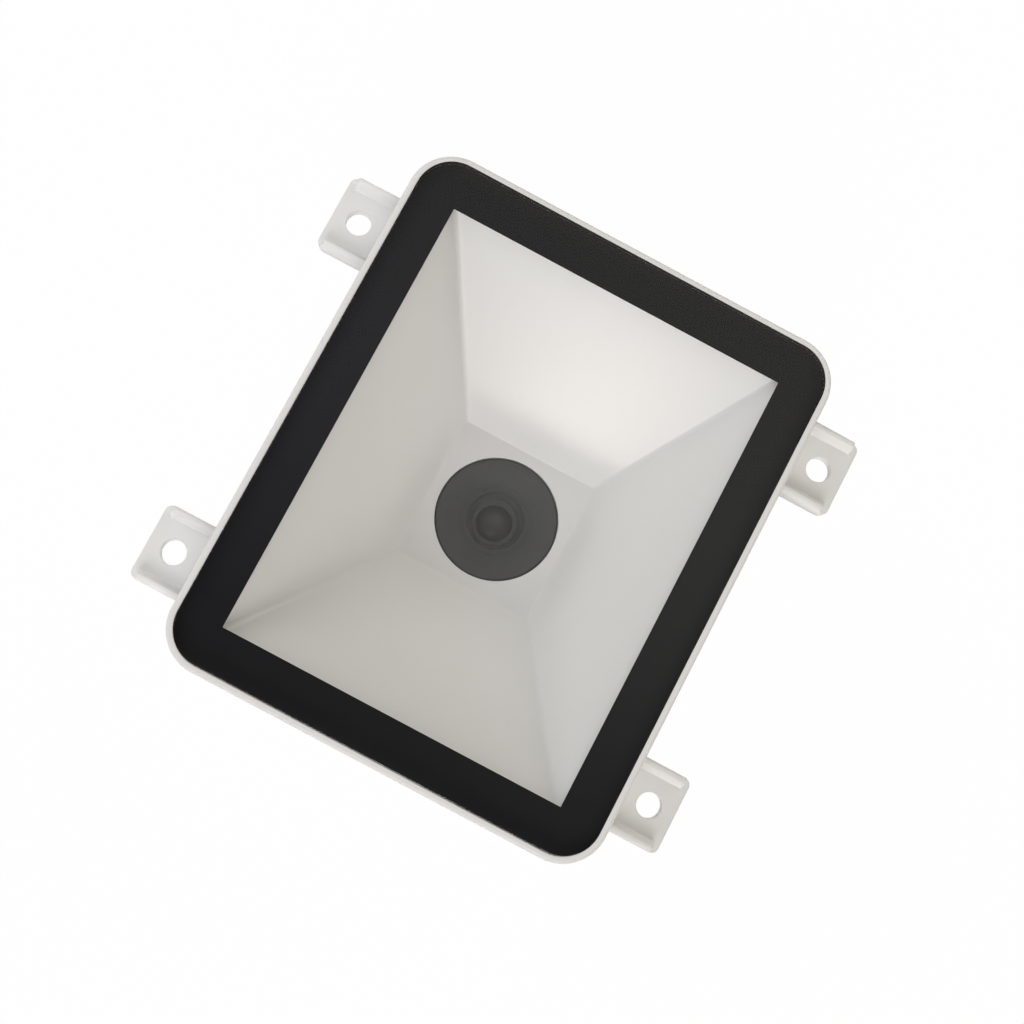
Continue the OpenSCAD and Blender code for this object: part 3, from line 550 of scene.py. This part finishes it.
# Board parts: chips and beeper in black moulding compound, ceramic capacitors, and resin LEDs,
# all soldered down. The link between the boards is a black pin strip in a black socket.
chip_pale = (0.035, 0.035, 0.037, 1)
chip_dull = (0.024, 0.024, 0.026, 1)
capacitor_pale = (0.5, 0.37, 0.24, 1)
capacitor_dull = (0.4, 0.28, 0.17, 1)
led_pale = (0.88, 0.8, 0.48, 1)
led_dull = (0.82, 0.7, 0.32, 1)
chip_black = moulded("Chip case", chip_pale, chip_dull, smooth=0.45, rough=0.6, flow=500)
for node in ("processor_chip", "memory_chip", "beeper", "link_socket", "link_header"):
    dress(node, chip_black)
capacitor_tan = moulded("Ceramic body", capacitor_pale, capacitor_dull, smooth=0.4, rough=0.5, flow=900)
dress("capacitors", capacitor_tan)
led_cream = moulded("LED resin", led_pale, led_dull, smooth=0.2, rough=0.3, flow=800)
dress("leds", led_cream)

# Cable socket: an ivory nylon shroud that opens through the rear cover and takes the host cable.
# It is moulded in one piece and soldered to the main board by its pins.
socket_pale = (0.78, 0.73, 0.6, 1)
socket_dull = (0.7, 0.64, 0.5, 1)
socket_ivory = moulded("Ivory nylon", socket_pale, socket_dull, smooth=0.38, rough=0.5, flow=300)
dress("interface_header", socket_ivory)

# Bare metal: gold-flashed pins, turned aluminium spacers, zinc-plated screws and the crystal's can.
# The pins and the can are soldered to the boards, and the screws hold the boards and the rear cover.
gold_bright = (0.86, 0.66, 0.28, 1)
gold_worn = (0.76, 0.55, 0.2, 1)
aluminium_bright = (0.78, 0.78, 0.79, 1)
aluminium_worn = (0.68, 0.68, 0.7, 1)
can_bright = (0.68, 0.68, 0.69, 1)
can_worn = (0.58, 0.58, 0.59, 1)
zinc_bright = (0.66, 0.66, 0.67, 1)
zinc_worn = (0.52, 0.52, 0.54, 1)
plating, plating_in, plating_out = new_group(
    "Plated metal",
    {
        "Vector": "Vector", "Bright": "Color", "Worn": "Color",
        "Streaks": "Float", "Smooth": "Float", "Rough": "Float",
    },
    {"Color": "Color", "Roughness": "Float", "Height": "Float"},
)
plating_stretch = place(
    plating, "ShaderNodeMapping", {"Vector": plating_in.outputs["Vector"], "Scale": (1, 1, 6)}
)
plating_noise = place(
    plating, "ShaderNodeTexNoise",
    {"Vector": plating_stretch.outputs["Vector"], "Scale": plating_in.outputs["Streaks"], "Detail": 5},
)
plating_tone = place(
    plating, "ShaderNodeMix",
    {0: plating_noise.outputs["Fac"], 6: plating_in.outputs["Bright"], 7: plating_in.outputs["Worn"]},
    data_type="RGBA",
)
plating_gloss = place(
    plating, "ShaderNodeMapRange",
    {
        "Value": plating_noise.outputs["Fac"], "From Min": 0.3, "From Max": 0.7,
        "To Min": plating_in.outputs["Smooth"], "To Max": plating_in.outputs["Rough"],
    },
)
plating.links.new(plating_tone.outputs[2], plating_out.inputs["Color"])
plating.links.new(plating_gloss.outputs["Result"], plating_out.inputs["Roughness"])
plating.links.new(plating_noise.outputs["Fac"], plating_out.inputs["Height"])


def plated(name, bright, worn, smooth=0.2, rough=0.36):
    """Bare or plated metal with fine turning streaks."""
    material, tree, output, place_on = new_material(name)
    layer = place(
        tree, "ShaderNodeGroup",
        {
            "Vector": place_on, "Bright": bright, "Worn": worn,
            "Streaks": 1500, "Smooth": smooth, "Rough": rough,
        },
        node_tree=plating,
    )
    bump = place(
        tree, "ShaderNodeBump", {"Strength": 1, "Distance": 0.003 * mm, "Height": layer.outputs["Height"]}
    )
    shader = place(
        tree, "ShaderNodeBsdfPrincipled",
        {
            "Base Color": layer.outputs["Color"], "Metallic": 1.0, "Roughness": layer.outputs["Roughness"],
            "Normal": bump.outputs["Normal"],
        },
    )
    tree.links.new(shader.outputs["BSDF"], output.inputs["Surface"])
    return material


pin_gold = plated("Gold flash", gold_bright, gold_worn)
for node in ("interface_pins", "link_pins"):
    dress(node, pin_gold)
dress("board_spacers", plated("Turned aluminium", aluminium_bright, aluminium_worn))
dress("crystal", plated("Drawn can", can_bright, can_worn))
screw_zinc = plated("Zinc plate", zinc_bright, zinc_worn, smooth=0.25, rough=0.42)
for node in ("board_screws", "cover_screws"):
    dress(node, screw_zinc)

# Window: a flat clear glass with a black border printed on its back, held on the housing's ledge
# by a ring of black foam tape. The glass stands a little proud of the lip and has a ground edge.
ink_pale = (0.008, 0.008, 0.009, 1)
ink_dull = (0.006, 0.006, 0.007, 1)
tape_pale = (0.03, 0.03, 0.03, 1)
tape_dull = (0.02, 0.02, 0.02, 1)
ink_black = moulded(
    "Border ink", ink_pale, ink_dull, smooth=0.5, rough=0.7, flow=300, depth=0.001 * mm, specular=0
)
dress("window_print", ink_black)
tape_black = moulded("Foam tape", tape_pale, tape_dull, smooth=0.8, rough=0.95, flow=900)
dress("window_tape", tape_black)

glass_tint = (0.985, 0.988, 0.985, 1)
glass_pass = (0.93, 0.932, 0.93, 1)
glass_low, glass_high = (np.array(corner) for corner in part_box("window_glass"))
glass_corner = 5.3 * mm
glass_round = 0.15 * mm
glass_arris = 0.05 * mm
glass_sink = 0.01 * mm
glass_flat = 3 * mm


def glass_plate():
    """A flat plate as stacked rounded rectangles: each row lies inside the outline by its inset, and
    the front edge is a quarter round. The back lies a hair inside the print, as fired ink does."""
    round_points = 7
    arc = np.linspace(0, np.pi / 2, round_points)
    inset = np.concatenate([
        [glass_flat, glass_arris, 0], glass_round * (1 - np.cos(arc)), [glass_flat],
    ])
    back = glass_low[2] - glass_sink
    front = glass_high[2]
    level = np.concatenate([
        [back, back, back + glass_arris], front - glass_round * (1 - np.sin(arc)), [front],
    ])
    half = glass_high[:2]
    return corner_rings(half[0] - inset, half[1] - inset, glass_corner - inset, level)


plate = glass_plate()
window = mesh_piece("window_plate", plate, capped_faces(*plate.shape[:2]))
window.data.shade_smooth()

window_glass, window_tree, window_output, window_place = new_material("Clear window glass")
smear = place(
    window_tree, "ShaderNodeTexNoise",
    {"Vector": window_place, "Scale": 45, "Detail": 5, "Roughness": 0.65},
)
smear_haze = place(
    window_tree, "ShaderNodeMapRange",
    {"Value": smear.outputs["Fac"], "From Min": 0.2, "From Max": 0.9, "To Min": 0.02, "To Max": 0.07},
)
window_shader = place(
    window_tree, "ShaderNodeBsdfPrincipled",
    {
        "Base Color": glass_tint, "Roughness": 0.0, "IOR": 1.5, "Transmission Weight": 1.0,
        "Coat Weight": smear_haze.outputs["Result"], "Coat Roughness": 0.35,
    },
)
window_clear = place(window_tree, "ShaderNodeBsdfTransparent", {"Color": glass_pass})
window_rays = window_tree.nodes.new("ShaderNodeLightPath")
window_soft = place(
    window_tree, "ShaderNodeMath",
    {0: window_rays.outputs["Is Shadow Ray"], 1: window_rays.outputs["Is Diffuse Ray"]},
    operation="MAXIMUM",
)
window_mix = place(
    window_tree, "ShaderNodeMixShader",
    {0: window_soft.outputs["Value"], 1: window_shader.outputs["BSDF"], 2: window_clear.outputs["BSDF"]},
)
window_tree.links.new(window_mix.outputs["Shader"], window_output.inputs["Surface"])
stand_for(window, window_glass, "window_glass", "window_glass")

# Rear cover: a flat white moulding with a rounded edge, sunk seats for its four screws, the slot
# for the cable socket and a rose of sound holes. It closes the back of the housing.
cover = joined_copy("rear_cover", "back_cover")
soften_edges(cover, housing_edge)
stand_for(cover, housing_white, "housing_white", "rear_cover")

# Studio: a white paper floor under the reader and soft boxes round it, the strongest and smallest on
# the -Y side, where the hood's far wall mirrors them, with a weak ceiling that the window mirrors.
# The camera looks down a few degrees off the window's normal.
floor_size = 3.0
paper_pale = (0.93, 0.93, 0.93, 1)
paper_grey = (0.9, 0.9, 0.9, 1)
glow_share = 0.98
paper_mesh = bpy.data.meshes.new("paper_floor")
paper_corner = floor_size / 2
paper_mesh.from_pydata(
    [
        (-paper_corner, -paper_corner, 0), (paper_corner, -paper_corner, 0),
        (paper_corner, paper_corner, 0), (-paper_corner, paper_corner, 0),
    ],
    [], [(0, 1, 2, 3)],
)
paper = bpy.data.objects.new("paper_floor", paper_mesh)
bpy.context.scene.collection.objects.link(paper)
paper_white, paper_tree, paper_output, paper_place = new_material("White paper")
paper_fibre = place(paper_tree, "ShaderNodeTexNoise", {"Vector": paper_place, "Scale": 900, "Detail": 2})
paper_tone = place(
    paper_tree, "ShaderNodeMix",
    {0: paper_fibre.outputs["Fac"], 6: paper_pale, 7: paper_grey}, data_type="RGBA",
)
paper_matt = place(paper_tree, "ShaderNodeBsdfDiffuse", {"Color": paper_tone.outputs[2]})
paper_glow = place(paper_tree, "ShaderNodeEmission", {"Color": (1, 1, 1, 1), "Strength": 1.0})
paper_rays = paper_tree.nodes.new("ShaderNodeLightPath")
paper_seen = place(
    paper_tree, "ShaderNodeMath",
    {0: paper_rays.outputs["Is Camera Ray"], 1: paper_rays.outputs["Is Glossy Ray"]}, operation="MAXIMUM",
)
paper_through = place(
    paper_tree, "ShaderNodeMath",
    {0: paper_seen.outputs["Value"], 1: paper_rays.outputs["Is Transmission Ray"]}, operation="MAXIMUM",
)
paper_share = place(
    paper_tree, "ShaderNodeMath", {0: paper_through.outputs["Value"], 1: glow_share}, operation="MULTIPLY"
)
paper_mix = place(
    paper_tree, "ShaderNodeMixShader",
    {0: paper_share.outputs["Value"], 1: paper_matt.outputs["BSDF"], 2: paper_glow.outputs["Emission"]},
)
paper_tree.links.new(paper_mix.outputs["Shader"], paper_output.inputs["Surface"])
paper_mesh.materials.append(paper_white)

# Each soft box on the sky: its bearing and height in degrees, how sharply it fades, and its light
sky_boxes = (
    (180, 30, 18, (1.97, 2.00, 2.06)),
    (-60, 30, 18, (2.07, 1.90, 1.73)),
    (60, 30, 18, (2.46, 2.25, 1.94)),
    (150, 30, 18, (2.09, 2.06, 2.01)),
    (-90, 55, 18, (1.63, 1.62, 1.62)),
    (90, 55, 18, (0.78, 0.76, 0.69)),
    (135, 77, 60, (0.29, 0.29, 0.34)),
    (45, 77, 60, (0.46, 0.46, 0.44)),
    (-88.5, 20.2, 800, (12.5, 11.2, 10.6)),
    (-90, 30.5, 100, (6.7, 6.9, 7.1)),
    (-75, 40, 100, (4.63, 4.32, 4.15)),
)
sky = bpy.data.worlds.new("Studio sky")
bpy.context.scene.world = sky
sky.use_nodes = True
sky_tree = sky.node_tree
sky_tree.nodes.clear()
sky_output = sky_tree.nodes.new("ShaderNodeOutputWorld")
sky_way = sky_tree.nodes.new("ShaderNodeTexCoord").outputs["Generated"]
sky_sum = (0, 0, 0)
for bearing, height, sharpness, box_light in sky_boxes:
    turn, lift = math.radians(bearing), math.radians(height)
    toward = (math.cos(lift) * math.cos(turn), math.cos(lift) * math.sin(turn), math.sin(lift))
    facing = place(sky_tree, "ShaderNodeVectorMath", {0: sky_way, 1: toward}, operation="DOT_PRODUCT")
    in_front = place(sky_tree, "ShaderNodeMath", {0: facing.outputs["Value"], 1: 0.0}, operation="MAXIMUM")
    fading = place(
        sky_tree, "ShaderNodeMath", {0: in_front.outputs["Value"], 1: sharpness}, operation="POWER"
    )
    glowing = place(
        sky_tree, "ShaderNodeVectorMath",
        {0: box_light, "Scale": fading.outputs["Value"]}, operation="SCALE",
    )
    sky_sum = place(
        sky_tree, "ShaderNodeVectorMath", {0: glowing.outputs["Vector"], 1: sky_sum}, operation="ADD"
    ).outputs["Vector"]
sky_light = place(sky_tree, "ShaderNodeBackground", {"Color": sky_sum, "Strength": 1.0})
sky_white = place(sky_tree, "ShaderNodeBackground", {"Color": (1, 1, 1, 1), "Strength": 1.0})
sky_rays = sky_tree.nodes.new("ShaderNodeLightPath")
sky_mix = place(
    sky_tree, "ShaderNodeMixShader",
    {
        0: sky_rays.outputs["Is Camera Ray"], 1: sky_light.outputs["Background"],
        2: sky_white.outputs["Background"],
    },
)
sky_tree.links.new(sky_mix.outputs["Shader"], sky_output.inputs["Surface"])

camera_at = Vector((-1.297, -30.435, 258.649)) * mm
camera_aim = Vector((1.251, -0.978, 46.0)) * mm
camera_lean = math.radians(28.016)
camera_lens = 57.044
camera_data = bpy.data.cameras.new("Camera")
camera_data.lens = camera_lens
camera_data.sensor_width = 36
camera_data.clip_start = 0.01
camera = bpy.data.objects.new("Camera", camera_data)
ahead = (camera_aim - camera_at).normalized()
level_right = ahead.cross(Vector((0, 1, 0))).normalized()
level_up = level_right.cross(ahead)
right = level_right * math.cos(camera_lean) + level_up * math.sin(camera_lean)
up = right.cross(ahead)
camera.matrix_world = Matrix.Translation(camera_at) @ Matrix((right, up, -ahead)).transposed().to_4x4()
bpy.context.scene.collection.objects.link(camera)
bpy.context.scene.camera = camera
bpy.context.scene.view_settings.view_transform = "Standard"

bpy.context.view_layer.update()
